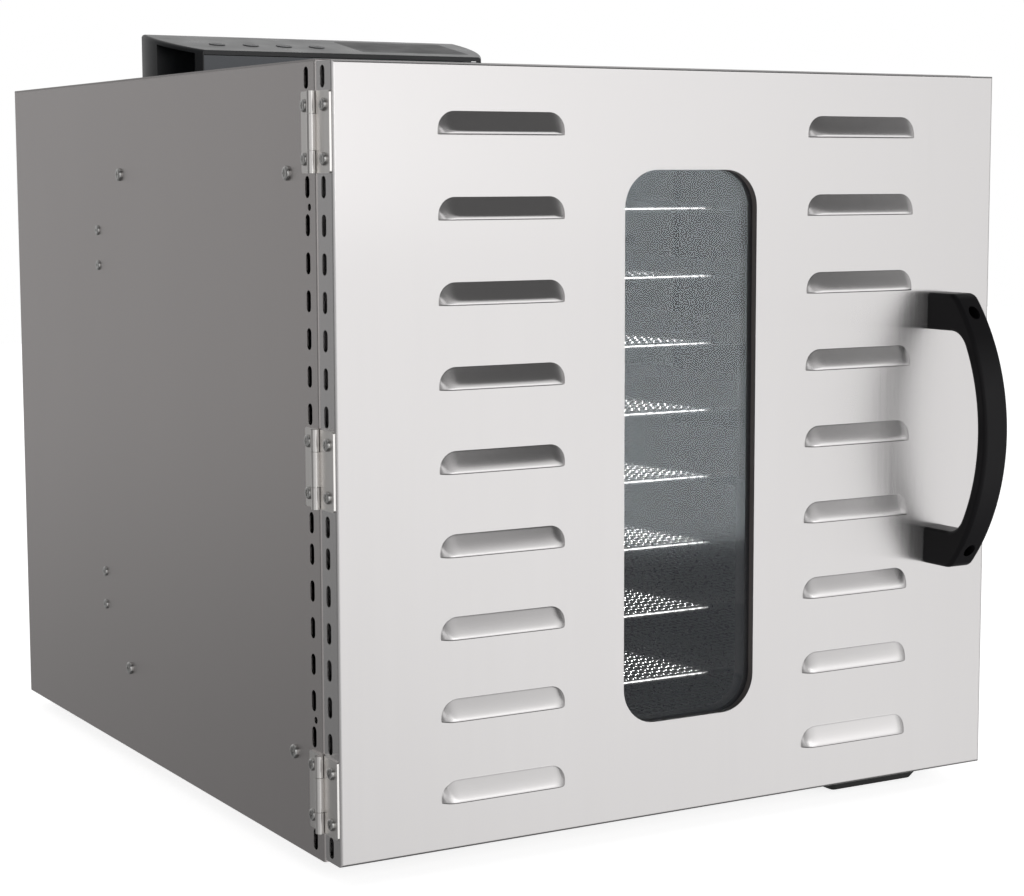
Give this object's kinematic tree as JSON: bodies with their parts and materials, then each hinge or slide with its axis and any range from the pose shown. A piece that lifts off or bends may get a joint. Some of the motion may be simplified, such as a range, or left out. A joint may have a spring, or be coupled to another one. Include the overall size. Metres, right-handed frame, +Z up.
{
  "type": "food dehydrator",
  "caption": "Steel cabinet food dehydrator with slide-out mesh trays, a louvred and windowed side-hinged door, a bow handle, rear fan and heater, and a sloped control housing on top.",
  "frame": {"origin": "centre of the object's footprint at the surface its feet stand on", "axes": "+X to the right seen from the door, +Y from the door to the back, +Z up"},
  "size_m": [0.4674, 0.591, 0.4966],
  "materials": {
    "case_steel": "vertically brushed stainless sheet",
    "door_steel": "vertically brushed stainless sheet",
    "inner_steel": "plain stainless sheet",
    "strip_steel": "dark horizontally brushed steel",
    "tray_wire": "bright electropolished wire and mesh",
    "screws": "bright zinc plated",
    "hinge_steel": "satin stainless",
    "handle_plastic": "fine textured black",
    "housing_plastic": "satin black",
    "keys": "satin dark grey",
    "display": "smoked gloss",
    "window_glass": "lightly tinted flat pane",
    "rubber": "black rubber",
    "seal": "grey silicone",
    "board": "green solder mask",
    "motor_metal": "zinc plated steel",
    "heater_sheath": "heat-darkened sheath",
    "fan_alloy": "plain aluminium",
    "magnet_black": "black"
  },
  "bodies": {
    "case": {"left_side_panel": "case_steel", "right_side_panel": "case_steel", "top_panel": "case_steel", "base_panel": "case_steel", "front_frame": "inner_steel", "rear_panel": "case_steel", "mains_inlet": "housing_plastic", "inlet_screws": "screws", "rubber_feet": "rubber", "foot_screws": "screws", "tray_rack_left": "inner_steel", "tray_rack_right": "inner_steel", "rack_screws": "screws", "baffle_rivets": "screws", "magnet_catch": "magnet_black", "rear_baffle": "inner_steel", "heat_shield": "inner_steel", "motor_bracket": "motor_metal", "motor_screws": "screws", "fan_motor": "motor_metal", "heating_element": "heater_sheath", "heater_clips": "motor_metal", "temperature_probe": "motor_metal", "control_housing": "housing_plastic", "control_front_strip": "strip_steel", "control_board": "board", "display_window": "display", "hinge_screws_case": "screws", "hinge_leaf_case_lower": "hinge_steel", "hinge_leaf_case_middle": "hinge_steel", "hinge_leaf_case_upper": "hinge_steel", "hinge_pins": "hinge_steel"},
    "door": {"door_skin": "door_steel", "door_inner_panel": "door_steel", "window_glass": "window_glass", "window_gasket": "rubber", "door_gasket": "seal", "door_strike": "motor_metal", "handle": "handle_plastic", "handle_screws": "screws", "hinge_screws_door": "screws", "hinge_leaf_door_lower": "hinge_steel", "hinge_leaf_door_middle": "hinge_steel", "hinge_leaf_door_upper": "hinge_steel"},
    "fan": {"fan_blades": "fan_alloy", "fan_shaft": "motor_metal"},
    "tray_01": {"tray_01": "tray_wire"},
    "tray_02": {"tray_02": "tray_wire"},
    "tray_03": {"tray_03": "tray_wire"},
    "tray_04": {"tray_04": "tray_wire"},
    "tray_05": {"tray_05": "tray_wire"},
    "tray_06": {"tray_06": "tray_wire"},
    "tray_07": {"tray_07": "tray_wire"},
    "tray_08": {"tray_08": "tray_wire"},
    "tray_09": {"tray_09": "tray_wire"},
    "tray_10": {"tray_10": "tray_wire"},
    "key_1": {"key_1": "keys"},
    "key_2": {"key_2": "keys"},
    "key_3": {"key_3": "keys"},
    "key_4": {"key_4": "keys"}
  },
  "joints": [
    {"name": "door_hinge", "type": "hinge", "parent": "case", "child": "door", "pos_m": [-0.2329, -0.2185, 0.2316], "axis": [0, 0, -1], "range_deg": [0, 160]},
    {"name": "fan_spin", "type": "hinge", "parent": "case", "child": "fan", "pos_m": [0, 0.1535, 0.2315], "axis": [0, 1, 0], "continuous": true},
    {"name": "tray_01_slide", "type": "slide", "parent": "case", "child": "tray_01", "axis": [0, -1, 0], "range_m": [0, 0.02]},
    {"name": "tray_02_slide", "type": "slide", "parent": "case", "child": "tray_02", "axis": [0, -1, 0], "range_m": [0, 0.02]},
    {"name": "tray_03_slide", "type": "slide", "parent": "case", "child": "tray_03", "axis": [0, -1, 0], "range_m": [0, 0.02]},
    {"name": "tray_04_slide", "type": "slide", "parent": "case", "child": "tray_04", "axis": [0, -1, 0], "range_m": [0, 0.02]},
    {"name": "tray_05_slide", "type": "slide", "parent": "case", "child": "tray_05", "axis": [0, -1, 0], "range_m": [0, 0.02]},
    {"name": "tray_06_slide", "type": "slide", "parent": "case", "child": "tray_06", "axis": [0, -1, 0], "range_m": [0, 0.02]},
    {"name": "tray_07_slide", "type": "slide", "parent": "case", "child": "tray_07", "axis": [0, -1, 0], "range_m": [0, 0.02]},
    {"name": "tray_08_slide", "type": "slide", "parent": "case", "child": "tray_08", "axis": [0, -1, 0], "range_m": [0, 0.02]},
    {"name": "tray_09_slide", "type": "slide", "parent": "case", "child": "tray_09", "axis": [0, -1, 0], "range_m": [0, 0.02]},
    {"name": "tray_10_slide", "type": "slide", "parent": "case", "child": "tray_10", "axis": [0, -1, 0], "range_m": [0, 0.02]},
    {"name": "key_1_press", "type": "slide", "parent": "case", "child": "key_1", "axis": [0, 0.1924, -0.9813], "range_m": [0, 0.0008], "stiffness_N_per_m": 800, "springref_m": -0.0006},
    {"name": "key_2_press", "type": "slide", "parent": "case", "child": "key_2", "axis": [0, 0.1924, -0.9813], "range_m": [0, 0.0008], "stiffness_N_per_m": 800, "springref_m": -0.0006},
    {"name": "key_3_press", "type": "slide", "parent": "case", "child": "key_3", "axis": [0, 0.1924, -0.9813], "range_m": [0, 0.0008], "stiffness_N_per_m": 800, "springref_m": -0.0006},
    {"name": "key_4_press", "type": "slide", "parent": "case", "child": "key_4", "axis": [0, 0.1924, -0.9813], "range_m": [0, 0.0008], "stiffness_N_per_m": 800, "springref_m": -0.0006}
  ]
}
